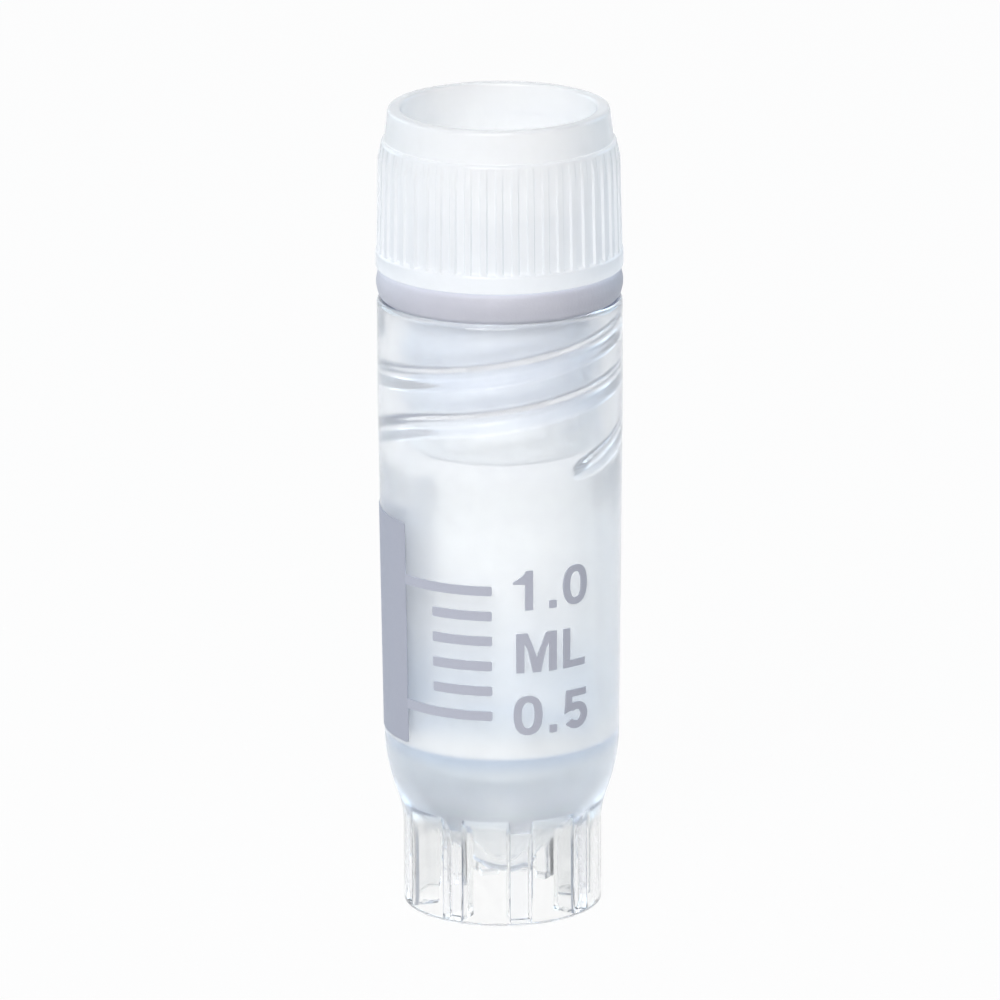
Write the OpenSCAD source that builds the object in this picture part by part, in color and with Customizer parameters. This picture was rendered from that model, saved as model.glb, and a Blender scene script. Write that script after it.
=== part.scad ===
// Self-standing cryogenic vial: an internally threaded tube on a star foot, closed by a
// knurled screw cap that carries a silicone gasket. The tube has a printed writing patch,
// graduation marks and figures.
// Millimetres, +Z up. The origin is the centre of the foot, on the plane it stands on.
// The graduation faces -Y. Angles round the axis are counted from there towards +X.

/* [Tube] */
// Outer diameter of the tube at its mouth
tube_d = 12.54; // [11.5:0.01:16]
// Height of the tube's mouth above the table
mouth_z = 32.2; // [30:0.1:48]
// Length of the straight stretch below the mouth
straight_h = 5.7; // [2:0.1:8]
// Draft of the barrel below the straight stretch, in degrees
barrel_draft = 0.72; // [0:0.01:1.2]
// Wall between the neck's bore and the outside
neck_wall = 1.02; // [0.7:0.01:1.3]
// Wall of the barrel at its lower end
barrel_wall = 1.165; // [0.7:0.005:1.5]
// Radius of the mouth's rounded edges
mouth_round = 0.25; // [0.05:0.01:0.4]

/* [Floor and foot] */
// Height where the bore begins to curve in to the conical floor
floor_z = 9.1; // [8.6:0.1:12]
// Radius of the curve between the bore and the conical floor
floor_curve_r = 2.5; // [0.5:0.1:4]
// Half angle of the conical floor, in degrees
floor_angle = 36; // [32:1:42]
// Inner radius of the floor's rounded tip
tip_r = 1.2; // [0.6:0.1:1.6]
// Wall of the conical floor
floor_wall = 0.9; // [0.5:0.05:1.1]
// Height where the barrel begins to curve in to the foot
shoulder_z = 9.4; // [8.9:0.1:12]
// Radius of the barrel's lower shoulder
shoulder_r = 9.8; // [6:0.1:11]
// Radius of the hollow curve between the shoulder and the skirt
skirt_curve_r = 5.2; // [3:0.1:6]
// How far the skirt is set in from the barrel
skirt_inset = 0.94; // [0.6:0.01:1.1]
// Wall of the skirt
skirt_wall = 0.52; // [0.4:0.01:0.8]
// Number of ribs inside the skirt
foot_ribs = 8; // [4:1:12]
// Thickness of each foot rib
foot_rib_w = 1; // [0.5:0.1:1.4]
// How far each foot rib reaches in from the skirt
foot_rib_depth = 1.2; // [0.6:0.1:1.6]
// Height of the ribs' lower ends above the table
foot_rib_rise = 0.15; // [0:0.05:1]
// Angle of the first foot rib
foot_rib_angle = 11.6; // [0:0.1:45]

/* [Thread] */
// Axial travel of the cap in one turn
thread_lead = 4.9; // [4.6:0.1:6]
// Number of thread starts
thread_starts = 2; // [1:1:2]
// Width of a thread ridge at its root
ridge_root_w = 1.2; // [0.9:0.05:1.2]
// Width of a thread ridge at its crest
ridge_crest_w = 0.7; // [0.4:0.05:0.8]
// Height of the tube's thread ridges
ridge_h = 0.4; // [0.25:0.01:0.45]
// Radial clearance between a crest and the wall it faces
thread_clearance = 0.15; // [0.1:0.01:0.25]
// Axial play between the cap's ridges and the tube's ridges above them
thread_play = 0.12; // [0.05:0.01:0.2]
// Angle at which the tube's first ridge begins
thread_start_angle = 35; // [0:1:360]
// Angle over which a ridge fades in and out
thread_runout = 24; // [15:1:45]
// Distance of the ridges from the mouth and from the neck's ledge
thread_margin = 0.65; // [0.5:0.05:1.5]

/* [Gasket] */
// Thickness of the gasket
gasket_h = 1.67; // [1:0.01:2.5]
// How far the gasket stands out from the tube
gasket_proud = 0.06; // [0:0.01:0.3]
// Radius of the gasket's outer edges
gasket_round = 0.3; // [0.05:0.01:0.45]
// Clearance between the gasket and the cap's plug
gasket_clearance = 0.05; // [0.03:0.01:0.2]

/* [Cap] */
// Height of the cap above the gasket
cap_h = 8.23; // [6.5:0.01:12]
// Height of the smooth collar above the grip
collar_h = 1.65; // [1:0.05:2.5]
// Step from the grip in to the collar
collar_step = 0.3; // [0.1:0.01:0.5]
// Draft of the collar, in degrees
collar_draft = 7; // [0:0.5:9]
// Draft of the grip, in degrees
grip_draft = 1.2; // [0:0.1:2]
// Number of ribs round the grip
grip_ribs = 48; // [24:1:60]
// Width of each grip rib
grip_rib_w = 0.36; // [0.2:0.01:0.5]
// Height of each grip rib
grip_rib_h = 0.14; // [0.05:0.01:0.25]
// Height of the smooth ring below the ribs
grip_ring_h = 1; // [0.5:0.05:1.5]
// How far the ring stands out from the ribs
grip_ring_proud = 0.04; // [0.02:0.01:0.05]
// Width of the rim round the cap's recess
rim_wall = 0.65; // [0.4:0.05:0.9]
// Depth of the recess in the cap's top
recess_depth = 4.8; // [3:0.1:5.5]
// Length of the plug below the gasket's top
plug_l = 9.4; // [8:0.1:10.5]
// Wall of the plug
plug_wall = 1.4; // [0.8:0.1:1.8]
// Thickness of the plug's closed end
plug_floor = 0.9; // [0.6:0.1:2]
// Chamfer round the plug's end
plug_chamfer = 0.3; // [0.1:0.05:0.4]
// Gap between the plug's end and the neck's ledge
plug_gap = 0.6; // [0.2:0.1:1]

/* [Print] */
// Thickness of the printed ink
ink_t = 0.04; // [0.02:0.01:0.08]
// Height of the writing patch's lower edge
patch_z = 9.5; // [9.5:0.1:12]
// Height of the writing patch
patch_h = 11.75; // [8:0.05:13]
// Angle of the writing patch's right edge
patch_angle = -52; // [-60:1:-48]
// Angle that the writing patch covers
patch_span = 85; // [60:1:200]
// Height of the lowest graduation mark
low_mark_z = 11.62; // [11:0.01:12.5]
// Volume between two marks, in cubic millimetres
mark_volume = 100; // [80:10:100]
// Number of steps between the lowest and the highest mark
mark_steps = 5; // [3:1:6]
// Thickness of a mark
mark_t = 0.5; // [0.2:0.05:0.8]
// Angle of the marks' right ends
mark_right = -4.5; // [-8:0.5:0]
// Angle of the short marks' left ends
mark_left = -34.6; // [-40:0.5:-25]
// Height of the figures
figure_h = 2.1; // [1.4:0.05:2.4]
// Width of a figure
figure_w = 1.52; // [1.2:0.01:1.7]
// Width of the figure 1, which stands at the left of its place
one_w = 1.04; // [0.8:0.01:1.2]
// Width of the letter M
m_w = 2.16; // [1.9:0.01:2.4]
// Width of the letter L
l_w = 1.37; // [0.9:0.01:1.5]
// Gap between two figures
figure_gap = 0.38; // [0.2:0.01:0.5]
// Stroke width of the figures
figure_stroke = 0.42; // [0.25:0.01:0.45]
// Distance round the barrel from the front to the figures' middle line
figure_offset = 2.7; // [2.4:0.05:4]

/* [Hidden] */
$fn = 96;
curve_steps = 8;      // straight steps in each curve of a turned profile
overlap = 0.2;        // how deep a ridge or rib is rooted in its wall
thread_step = 7.5;    // degrees between two sections of a thread ridge
runout_scale = 0.12;  // height of a ridge's very end, as a share of its full height

// Tube, outside
tube_r = tube_d / 2;
taper_top_z = mouth_z - straight_h;
barrel_foot_r = barrel_r(shoulder_z);
skirt_r = barrel_foot_r - skirt_inset;
shoulder_turn = acos(1 - skirt_inset / (shoulder_r + skirt_curve_r));
skirt_top_z = shoulder_z - (shoulder_r + skirt_curve_r) * sin(shoulder_turn);
skirt_inner_r = skirt_r - skirt_wall;
skirt_round = skirt_wall / 4;

// Tube, inside
bore_r = barrel_foot_r - barrel_wall;
neck_r = tube_r - neck_wall;
floor_edge_r = bore_r - floor_curve_r * (1 - cos(floor_angle));
floor_edge_z = floor_z - floor_curve_r * sin(floor_angle);
tip_centre_z = floor_edge_z - floor_edge_r / tan(floor_angle) + tip_r / sin(floor_angle);
outer_tip_r = tip_r + floor_wall;

// Gasket, cap and plug
gasket_r = tube_r + gasket_proud;
flange_z = mouth_z + gasket_h;
cap_top_z = flange_z + cap_h;
collar_z = cap_top_z - collar_h;
grip_r = tube_r - grip_rib_h;
grip_top_r = grip_r - (collar_z - flange_z) * tan(grip_draft);
grip_ring_r = tube_r + grip_ring_proud;
grip_ring_z = flange_z + grip_ring_h;
collar_r = grip_top_r + grip_rib_h - collar_step;
rim_r = collar_r - collar_h * tan(collar_draft);
recess_r = rim_r - rim_wall;
recess_z = cap_top_z - recess_depth;
plug_z = flange_z - plug_l;
ledge_z = plug_z - plug_gap;
plug_r = neck_r - ridge_h - thread_clearance;
plug_ridge_h = neck_r - thread_clearance - plug_r;
well_r = plug_r - plug_wall;
well_z = plug_z + plug_floor;
edge_round = collar_step / 2;

// Thread
ridge_spacing = thread_lead / thread_starts;
tube_ridge_z = ledge_z + thread_margin + ridge_root_w / 2;
tube_ridge_top_z = mouth_z - thread_margin - ridge_root_w / 2;
plug_ridge_drop = ridge_root_w - (ridge_root_w - ridge_crest_w) * thread_clearance / ridge_h + thread_play;
plug_ridge_z = plug_z + plug_chamfer + ridge_root_w / 2;
plug_ridge_top_z = mouth_z - ridge_root_w / 2;
plug_ridge_angle = thread_start_angle + 360 * (plug_ridge_z - tube_ridge_z + plug_ridge_drop) / thread_lead;

// Print
mark_pitch = mark_volume / (PI * bore_r * bore_r);
high_mark_z = low_mark_z + mark_steps * mark_pitch;
ink_r = barrel_r((low_mark_z + high_mark_z) / 2);

// Radius of the barrel's outside at height z, above the shoulder
function barrel_r(z) = tube_r - max(0, taper_top_z - z) * tan(barrel_draft);

// Radius of the grip's core between its ribs at height z
function grip_core_r(z) = grip_r - (z - flange_z) * tan(grip_draft);

// Points of an arc round [x, z] from angle a to angle b
function arc(x, z, r, a, b) =
    [for (i = [0:curve_steps]) let (t = a + (b - a) * i / curve_steps) [x + r * cos(t), z + r * sin(t)]];

// Height of the conical floor's underside at radius r
function underside_z(r) =
    tip_centre_z - outer_tip_r * sin(floor_angle)
    + (r - outer_tip_r * cos(floor_angle)) / tan(floor_angle);

// Puts something built on -Y at an angle round the axis
module at_angle(a) {
    rotate([0, 0, a]) children();
}

// A prism whose outline is in radius and height, centred on -Y
module radial_plate(points, thickness) {
    rotate([0, 0, -90])
        translate([0, thickness / 2, 0])
            rotate([90, 0, 0])
                linear_extrude(height = thickness) polygon(points);
}

// A helical ridge of trapezoid section. root_r is the wall it grows from, height is positive
// outward and negative inward, and z is its middle line's height at its first end.
module thread_ridge(root_r, height, z, z_top, angle) {
    turn = 360 * (z_top - z) / thread_lead;
    steps = ceil(turn / thread_step);
    root = root_r - sign(height) * overlap;
    sections = [for (i = [0:steps]) let (
        a = turn * i / steps,
        fade = max(runout_scale, min(1, a / thread_runout, (turn - a) / thread_runout)),
        crest = root_r + height * fade,
        slope = (ridge_root_w - ridge_crest_w) / 2 * fade,
        half = ridge_root_w / 2,
        zc = z + thread_lead * a / 360,
        phi = angle + a - 90)
        [for (p = [[root, -half], [crest, slope - half], [crest, half - slope], [root, half]])
            [p[0] * cos(phi), p[0] * sin(phi), zc + p[1]]]];
    sides = [for (i = [0:steps - 1], j = [0:3]) let (k = (j + 1) % 4)
        [4 * i + j, 4 * i + k, 4 * i + 4 + k, 4 * i + 4 + j]];
    caps = [[3, 2, 1, 0], [for (j = [0:3]) 4 * steps + j]];
    faces = concat(sides, caps);
    polyhedron(
        points = [for (s = sections) each s],
        faces = height < 0 ? [for (f = faces) [for (i = [len(f) - 1:-1:0]) f[i]]] : faces
    );
}

module tube_profile() {
    polygon(concat(
        // the skirt's outside, the shoulder and the barrel
        arc(skirt_r - skirt_round, skirt_round, skirt_round, -90, 0),
        arc(skirt_r + skirt_curve_r, skirt_top_z, skirt_curve_r, 180, 180 - shoulder_turn),
        arc(barrel_foot_r - shoulder_r, shoulder_z, shoulder_r, -shoulder_turn, 0),
        [[tube_r, taper_top_z]],
        // the mouth
        arc(tube_r - mouth_round, mouth_z - mouth_round, mouth_round, 0, 90),
        arc(neck_r + mouth_round, mouth_z - mouth_round, mouth_round, 90, 180),
        // the neck's ledge, the bore and the floor
        [[neck_r, ledge_z], [bore_r, ledge_z - (neck_r - bore_r)]],
        arc(bore_r - floor_curve_r, floor_z, floor_curve_r, 0, -floor_angle),
        arc(0, tip_centre_z, tip_r, -floor_angle, -90),
        // the floor's underside and the skirt's inside
        arc(0, tip_centre_z, outer_tip_r, -90, -floor_angle),
        [[skirt_inner_r, underside_z(skirt_inner_r)]],
        arc(skirt_inner_r + skirt_round, skirt_round, skirt_round, 180, 270)
    ));
}

module foot_rib() {
    inner_r = skirt_inner_r - foot_rib_depth;
    outer_r = skirt_inner_r + skirt_wall / 2;
    embed = floor_wall / 3;
    radial_plate([
        [inner_r, foot_rib_rise],
        [outer_r, foot_rib_rise],
        [outer_r, underside_z(skirt_inner_r)],
        [skirt_inner_r, underside_z(skirt_inner_r) + embed],
        [inner_r, underside_z(inner_r) + embed]
    ], foot_rib_w);
}

module tube() {
    color([0.90, 0.93, 0.97]) union() {
        rotate_extrude() tube_profile();
        for (i = [0:foot_ribs - 1]) at_angle(foot_rib_angle + 360 * i / foot_ribs) foot_rib();
        for (i = [0:thread_starts - 1])
            thread_ridge(neck_r, -ridge_h, tube_ridge_z, tube_ridge_top_z,
                thread_start_angle + 360 * i / thread_starts);
    }
}

module cap_profile() {
    polygon(concat(
        // the plug
        [[0, plug_z], [plug_r - plug_chamfer, plug_z], [plug_r, plug_z + plug_chamfer], [plug_r, flange_z]],
        // the ring below the ribs, the grip's core, the collar and the rim
        [[grip_ring_r, flange_z], [grip_ring_r, grip_ring_z - grip_rib_h],
            [grip_core_r(grip_ring_z), grip_ring_z]],
        arc(grip_top_r - edge_round, collar_z - edge_round, edge_round, 0, 90),
        [[collar_r, collar_z]],
        arc(rim_r - edge_round, cap_top_z - edge_round, edge_round, 0, 90),
        arc(recess_r + edge_round, cap_top_z - edge_round, edge_round, 90, 180),
        // the recess and the well inside the plug
        [[recess_r, recess_z], [well_r, recess_z], [well_r, well_z], [0, well_z]]
    ));
}

// A rib stands in the ring, and its upper end slopes in to the grip a little below its rounded shoulder
module grip_rib() {
    start_z = flange_z + grip_ring_h / 2;
    end_z = collar_z - edge_round - grip_rib_h;
    radial_plate([
        [grip_core_r(start_z) - overlap, start_z],
        [grip_core_r(start_z) + grip_rib_h, start_z],
        [grip_top_r + grip_rib_h, end_z - grip_rib_h],
        [grip_top_r - overlap, end_z + overlap]
    ], grip_rib_w);
}

module cap() {
    color([0.95, 0.96, 0.98]) union() {
        rotate_extrude() cap_profile();
        for (i = [0:grip_ribs - 1]) at_angle(360 * i / grip_ribs) grip_rib();
        for (i = [0:thread_starts - 1])
            thread_ridge(plug_r, plug_ridge_h, plug_ridge_z, plug_ridge_top_z,
                plug_ridge_angle + 360 * i / thread_starts);
    }
}

module gasket() {
    inner_r = plug_r + gasket_clearance;
    color([0.72, 0.71, 0.77]) rotate_extrude() polygon(concat(
        [[inner_r, flange_z], [inner_r, mouth_z]],
        arc(gasket_r - gasket_round, mouth_z + gasket_round, gasket_round, -90, 0),
        arc(gasket_r - gasket_round, flange_z - gasket_round, gasket_round, 0, 90)
    ));
}

// A field of ink on the barrel between two heights and from angle a to angle b
module ink_field(z0, z1, a, b) {
    rotate([0, 0, a - 90]) rotate_extrude(angle = b - a) polygon([
        [barrel_r(z0), z0], [barrel_r(z0) + ink_t, z0],
        [barrel_r(z1) + ink_t, z1], [barrel_r(z1), z1]
    ]);
}

module writing_patch() {
    color([0.68, 0.69, 0.75]) ink_field(patch_z, patch_z + patch_h, patch_angle - patch_span, patch_angle);
}

// The highest mark and the lowest one are long and run in to the writing patch
module graduation_ticks() {
    color([0.74, 0.75, 0.79]) for (i = [0:mark_steps]) {
        z = low_mark_z + i * mark_pitch;
        left = i == 0 || i == mark_steps ? patch_angle : mark_left;
        ink_field(z - mark_t / 2, z + mark_t / 2, left, mark_right);
    }
}

// Figures are flat outlines centred on their own middle
module figure_0() {
    r = figure_w / 2;
    difference() {
        stadium(r, figure_h);
        stadium(r - figure_stroke, figure_h - 2 * figure_stroke);
    }
}

module stadium(r, h) {
    square([2 * r, h - 2 * r], center = true);
    for (s = [-1, 1]) translate([0, s * (h / 2 - r)]) circle(r);
}

module figure_1() {
    right = one_w - figure_w / 2;
    stem = right - figure_stroke;
    polygon([
        [stem, -figure_h / 2], [right, -figure_h / 2], [right, figure_h / 2],
        [stem + figure_stroke / 4, figure_h / 2], [-figure_w / 2, figure_h / 5],
        [-figure_w / 2, 0], [stem, figure_h / 5]
    ]);
}

module figure_5() {
    r = figure_h * 0.34;
    bowl = r - figure_h / 2;
    neck = bowl + r * 0.45;
    left = -figure_w / 2 + figure_stroke / 2;
    translate([left, figure_h / 2 - figure_stroke]) square([figure_w - figure_stroke, figure_stroke]);
    translate([left, neck]) square([figure_stroke, figure_h / 2 - neck]);
    translate([figure_w / 2 - r, bowl]) difference() {
        circle(r);
        circle(r - figure_stroke);
        polygon([[0, 0], [-2 * r, -r * 0.7], [-2 * r, r * 0.9]]);
    }
}

module figure_point() {
    translate([-figure_stroke / 2, -figure_h / 2]) square(figure_stroke);
}

module letter_m() {
    h = figure_h / 2;
    w = m_w / 2;
    s = figure_stroke;
    polygon([
        [-w, -h], [-w, h], [-w + 1.3 * s, h], [0, -h + 1.9 * s], [w - 1.3 * s, h],
        [w, h], [w, -h], [w - s, -h], [w - s, h - 1.6 * s], [s / 2, -h],
        [-s / 2, -h], [-w + s, h - 1.6 * s], [-w + s, -h]
    ]);
}

module letter_l() {
    translate([-l_w / 2, -figure_h / 2]) {
        square([figure_stroke, figure_h]);
        square([l_w, figure_stroke]);
    }
}

// Width of the first n figures of a line, with a gap after each
function line_w(widths, n) = n == 0 ? 0 : widths[n - 1] + figure_gap + line_w(widths, n - 1);

// Prints one figure on the barrel, the one in place i of a line of figures of the given widths
module print_figure(z, widths, i) {
    line_half = (line_w(widths, len(widths)) - figure_gap) / 2;
    x = figure_offset - line_half + line_w(widths, i) + widths[i] / 2;
    a = x / ink_r * 180 / PI;
    intersection() {
        at_angle(a) translate([0, 0, z]) rotate([90, 0, 0])
            linear_extrude(height = tube_r + 1) children();
        ink_field(z - figure_h, z + figure_h, a - 30, a + 30);
    }
}

module graduation_figures() {
    number = [figure_w, figure_stroke, figure_w];
    unit = [m_w, l_w];
    unit_z = (low_mark_z + high_mark_z) / 2;
    color([0.73, 0.74, 0.79]) {
        print_figure(high_mark_z, number, 0) figure_1();
        print_figure(high_mark_z, number, 1) figure_point();
        print_figure(high_mark_z, number, 2) figure_0();
        print_figure(unit_z, unit, 0) letter_m();
        print_figure(unit_z, unit, 1) letter_l();
        print_figure(low_mark_z, number, 0) figure_0();
        print_figure(low_mark_z, number, 1) figure_point();
        print_figure(low_mark_z, number, 2) figure_5();
    }
}

tube();
cap();
gasket();
writing_patch();
graduation_ticks();
graduation_figures();
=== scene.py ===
"""Self-standing cryogenic vial: a clear tube on a star foot, a knurled screw cap, a rubber
ring between them, and the printed writing field, marks and figures of the scale.

Every size is in millimetres and turned to metres as a mesh is made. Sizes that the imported
solids show are read from them; the rest are named below. Angles round the axis are counted
in degrees from the front (-Y) towards +X.
"""

import math

import bpy
import numpy as np
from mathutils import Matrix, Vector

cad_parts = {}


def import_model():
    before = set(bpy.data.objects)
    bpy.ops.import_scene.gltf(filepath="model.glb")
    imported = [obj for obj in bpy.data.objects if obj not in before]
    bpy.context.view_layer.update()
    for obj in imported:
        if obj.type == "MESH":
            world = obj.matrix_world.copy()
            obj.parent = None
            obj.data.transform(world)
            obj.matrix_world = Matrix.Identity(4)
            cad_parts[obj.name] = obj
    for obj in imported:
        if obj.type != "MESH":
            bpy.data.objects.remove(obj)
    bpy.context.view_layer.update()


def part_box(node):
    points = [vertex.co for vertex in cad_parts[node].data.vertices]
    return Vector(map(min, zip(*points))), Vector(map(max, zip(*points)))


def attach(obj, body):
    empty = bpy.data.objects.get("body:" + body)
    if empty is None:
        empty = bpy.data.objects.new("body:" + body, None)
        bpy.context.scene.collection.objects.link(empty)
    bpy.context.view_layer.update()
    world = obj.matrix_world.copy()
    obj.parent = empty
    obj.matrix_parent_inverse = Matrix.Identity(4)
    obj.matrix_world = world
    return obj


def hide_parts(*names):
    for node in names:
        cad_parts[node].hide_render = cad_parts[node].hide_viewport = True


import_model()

MM = 0.001


def node_box(node):
    """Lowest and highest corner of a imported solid, in millimetres."""
    low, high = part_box(node)
    return np.array(low) / MM, np.array(high) / MM


# ---------------------------------------------------------------- sizes
tube_high = node_box("tube")[1]
cap_low, cap_high = node_box("cap")
ring_low, ring_high = node_box("gasket")
patch_low, patch_high = node_box("writing_patch")
marks_low, marks_high = node_box("graduation_ticks")

# Tube, outside
TUBE_R = tube_high[0]
MOUTH_Z = tube_high[2]
MOUTH_WALL, MOUTH_EDGE, STRAIGHT_H = 1.02, 0.25, 5.7
TAPER_TOP_Z = MOUTH_Z - STRAIGHT_H
BARREL_DRAFT = math.radians(0.72)
SHOULDER_Z, SHOULDER_R = 9.4, 9.8
SKIRT_CURVE_R, SKIRT_INSET, SKIRT_WALL, SKIRT_FILLET = 5.2, 0.94, 0.52, 1.6
FOOT_R = TUBE_R - (TAPER_TOP_Z - SHOULDER_Z) * math.tan(BARREL_DRAFT)
SKIRT_R = FOOT_R - SKIRT_INSET
SKIRT_IN_R = SKIRT_R - SKIRT_WALL

# Tube, inside
NECK_R = TUBE_R - MOUTH_WALL
BARREL_WALL = 1.165
FLOOR_Z, FLOOR_CURVE_R, FLOOR_WALL = 9.1, 2.5, 0.9
FLOOR_ANGLE = math.radians(36)
TIP_R = 1.2
BORE_R = FOOT_R - BARREL_WALL
FLOOR_EDGE_R = BORE_R - FLOOR_CURVE_R * (1 - math.cos(FLOOR_ANGLE))
FLOOR_EDGE_Z = FLOOR_Z - FLOOR_CURVE_R * math.sin(FLOOR_ANGLE)
CONE_TIP_Z = FLOOR_EDGE_Z - FLOOR_EDGE_R / math.tan(FLOOR_ANGLE)
RIBS, RIB_ANGLE, RIB_W, RIB_DEPTH, RIB_RISE = 8, 11.6, 1.0, 1.2, 0.03

# Thread
LEAD, STARTS = 4.9, 2
RIDGE_ROOT, RIDGE_CREST, RIDGE_H = 1.2, 0.7, 0.4
ROOT_SPREAD, CREST_SHRINK = 0.15, 0.27     # how far a rounded flank passes the plain one
CLEARANCE, PLAY, RUNOUT, THREAD_ANGLE, THREAD_MARGIN = 0.15, 0.12, 24, 35, 0.65
TAIL_DROP, TAIL_SPAN = 1.3, 110
TAPER = 2.2

# Cap
FLANGE_Z = ring_high[2]
CAP_TOP_Z = cap_high[2]
PLUG_Z = cap_low[2]
COLLAR_H, COLLAR_DRAFT = 1.65, math.radians(7)
COLLAR_Z = CAP_TOP_Z - COLLAR_H
GRIP_RIBS, GRIP_RIB_W, GRIP_RIB_H, GRIP_DRAFT = 48, 0.36, 0.14, math.radians(1.2)
GRIP_R = TUBE_R - GRIP_RIB_H
GRIP_TOP_R = GRIP_R - (COLLAR_Z - FLANGE_Z) * math.tan(GRIP_DRAFT)
RING_FOOT_R, RING_FOOT_H = TUBE_R + 0.04, 1.0
COLLAR_STEP, RIM_WALL, RECESS_DEPTH = 0.3, 0.65, 4.8
COLLAR_R = GRIP_TOP_R + GRIP_RIB_H - COLLAR_STEP
RIM_R = COLLAR_R - COLLAR_H * math.tan(COLLAR_DRAFT)
RECESS_R = RIM_R - RIM_WALL
RECESS_Z = CAP_TOP_Z - RECESS_DEPTH
PLUG_WALL, PLUG_END_WALL, PLUG_CHAMFER, PLUG_GAP = 1.4, 0.9, 0.3, 0.6
PLUG_R = NECK_R - RIDGE_H - CLEARANCE
PLUG_RIDGE_H = NECK_R - CLEARANCE - PLUG_R
WELL_R, WELL_Z = PLUG_R - PLUG_WALL, PLUG_Z + PLUG_END_WALL

# Where the plug's end and the thread lie in the neck
LEDGE_Z = PLUG_Z - PLUG_GAP
THREAD_LOW_Z = LEDGE_Z + THREAD_MARGIN + RIDGE_ROOT / 2
THREAD_HIGH_Z = MOUTH_Z - THREAD_MARGIN - RIDGE_ROOT / 2

# Print
INK_T, INK_ROOT = 0.04, 0.012
MARK_T, MARK_CORNER, MARK_OVERLAP, FIELD_CORNER = 0.5, 0.07, 0.05, 0.18
LOW_MARK_Z, HIGH_MARK_Z = marks_low[2] + MARK_T / 2, marks_high[2] - MARK_T / 2
MARKS = 6
PATCH_ANGLE, PATCH_SPAN = -52, 85
MARK_RIGHT, MARK_LEFT = -4.5, -34.6
FIGURE_H, FIGURE_W, FIGURE_GAP, FIGURE_STROKE, FIGURE_OFFSET = 2.1, 1.52, 0.38, 0.42, 2.7
M_W, L_W = 2.16, 1.37


def barrel_r(z):
    """Outer radius of the barrel at height z: the mouth's less the draft below the taper's top."""
    return TUBE_R - np.maximum(0, TAPER_TOP_Z - z) * math.tan(BARREL_DRAFT)


def grip_core_r(z):
    """Radius of the grip between its ribs at height z."""
    return GRIP_R - (z - FLANGE_Z) * math.tan(GRIP_DRAFT)


# ---------------------------------------------------------------- outlines
def arc(x, z, r, start, stop, steps=8):
    """Points of a circle round (x, z) from angle start to angle stop, in degrees."""
    t = np.radians(np.linspace(start, stop, steps + 1))
    return np.stack([x + r * np.cos(t), z + r * np.sin(t)], axis=1)


def rounded(corners, steps=4):
    """Corners of (x, z, radius): each is cut back by its radius and bridged by a quadratic curve."""
    corners = np.array(corners, float)
    points = [corners[0, :2]]
    for before, here, after in zip(corners, corners[1:], corners[2:]):
        a, b = before[:2] - here[:2], after[:2] - here[:2]
        p = here[:2] + a / np.linalg.norm(a) * here[2]
        q = here[:2] + b / np.linalg.norm(b) * here[2]
        t = np.linspace(0, 1, steps + 1 if here[2] > 0 else 1)[:, None]
        points.extend((1 - t) ** 2 * p + 2 * t * (1 - t) * here[:2] + t ** 2 * q)
    points.append(corners[-1, :2])
    return np.array(points)


def filled(points, step):
    """The same outline with points added so that none are more than a step apart."""
    out = [points[:1]]
    for p, q in zip(points, points[1:]):
        n = max(1, math.ceil(np.linalg.norm(q - p) / step))
        out.append(p + (q - p) * (np.arange(1, n + 1) / n)[:, None])
    return np.concatenate(out)


def along(points, share):
    """Points at given shares of an outline's length."""
    length = np.r_[0, np.cumsum(np.linalg.norm(np.diff(points, axis=0), axis=1))]
    s = np.asarray(share) * length[-1]
    return np.stack([np.interp(s, length, points[:, i]) for i in (0, 1)], axis=1)


# ---------------------------------------------------------------- meshes
def signed_volume(points, triangles):
    """Volume that the triangles enclose, negative where they face inwards."""
    a, b, c = (points[triangles[:, i]] for i in range(3))
    return np.einsum("ij,ij->i", a, np.cross(b, c)).sum() / 6


def grid_faces(rows, columns, first=0):
    """Quads of a grid of points whose columns close on themselves."""
    i = np.arange(rows - 1)[:, None]
    j = np.arange(columns)[None, :]
    k = (j + 1) % columns
    corners = [i * columns + j, i * columns + k, (i + 1) * columns + k, (i + 1) * columns + j]
    return first + np.stack(np.broadcast_arrays(*corners), axis=-1).reshape(-1, 4)


def build_mesh(name, points, quads, triangles, crease=None):
    """A mesh object of quads and triangles, in metres, facing outwards and shaded smooth."""
    halves = np.concatenate([quads[:, [0, 1, 2]], quads[:, [0, 2, 3]], triangles])
    if signed_volume(points, halves) < 0:
        quads, triangles = quads[:, ::-1], triangles[:, ::-1]
    mesh = bpy.data.meshes.new(name)
    mesh.vertices.add(len(points))
    mesh.vertices.foreach_set("co", (points * MM).astype(np.float32).ravel())
    loops = np.concatenate([quads.ravel(), triangles.ravel()])
    starts = np.r_[np.arange(len(quads)) * 4, len(quads) * 4 + np.arange(len(triangles)) * 3]
    mesh.loops.add(len(loops))
    mesh.loops.foreach_set("vertex_index", loops.astype(np.int32))
    mesh.polygons.add(len(starts))
    mesh.polygons.foreach_set("loop_start", starts.astype(np.int32))
    mesh.polygons.foreach_set("use_smooth", np.ones(len(starts), bool))
    mesh.update(calc_edges=True)
    mesh.validate()
    if crease:
        mesh.set_sharp_from_angle(angle=math.radians(crease))
    piece = bpy.data.objects.new(name, mesh)
    bpy.context.scene.collection.objects.link(piece)
    return piece


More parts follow.
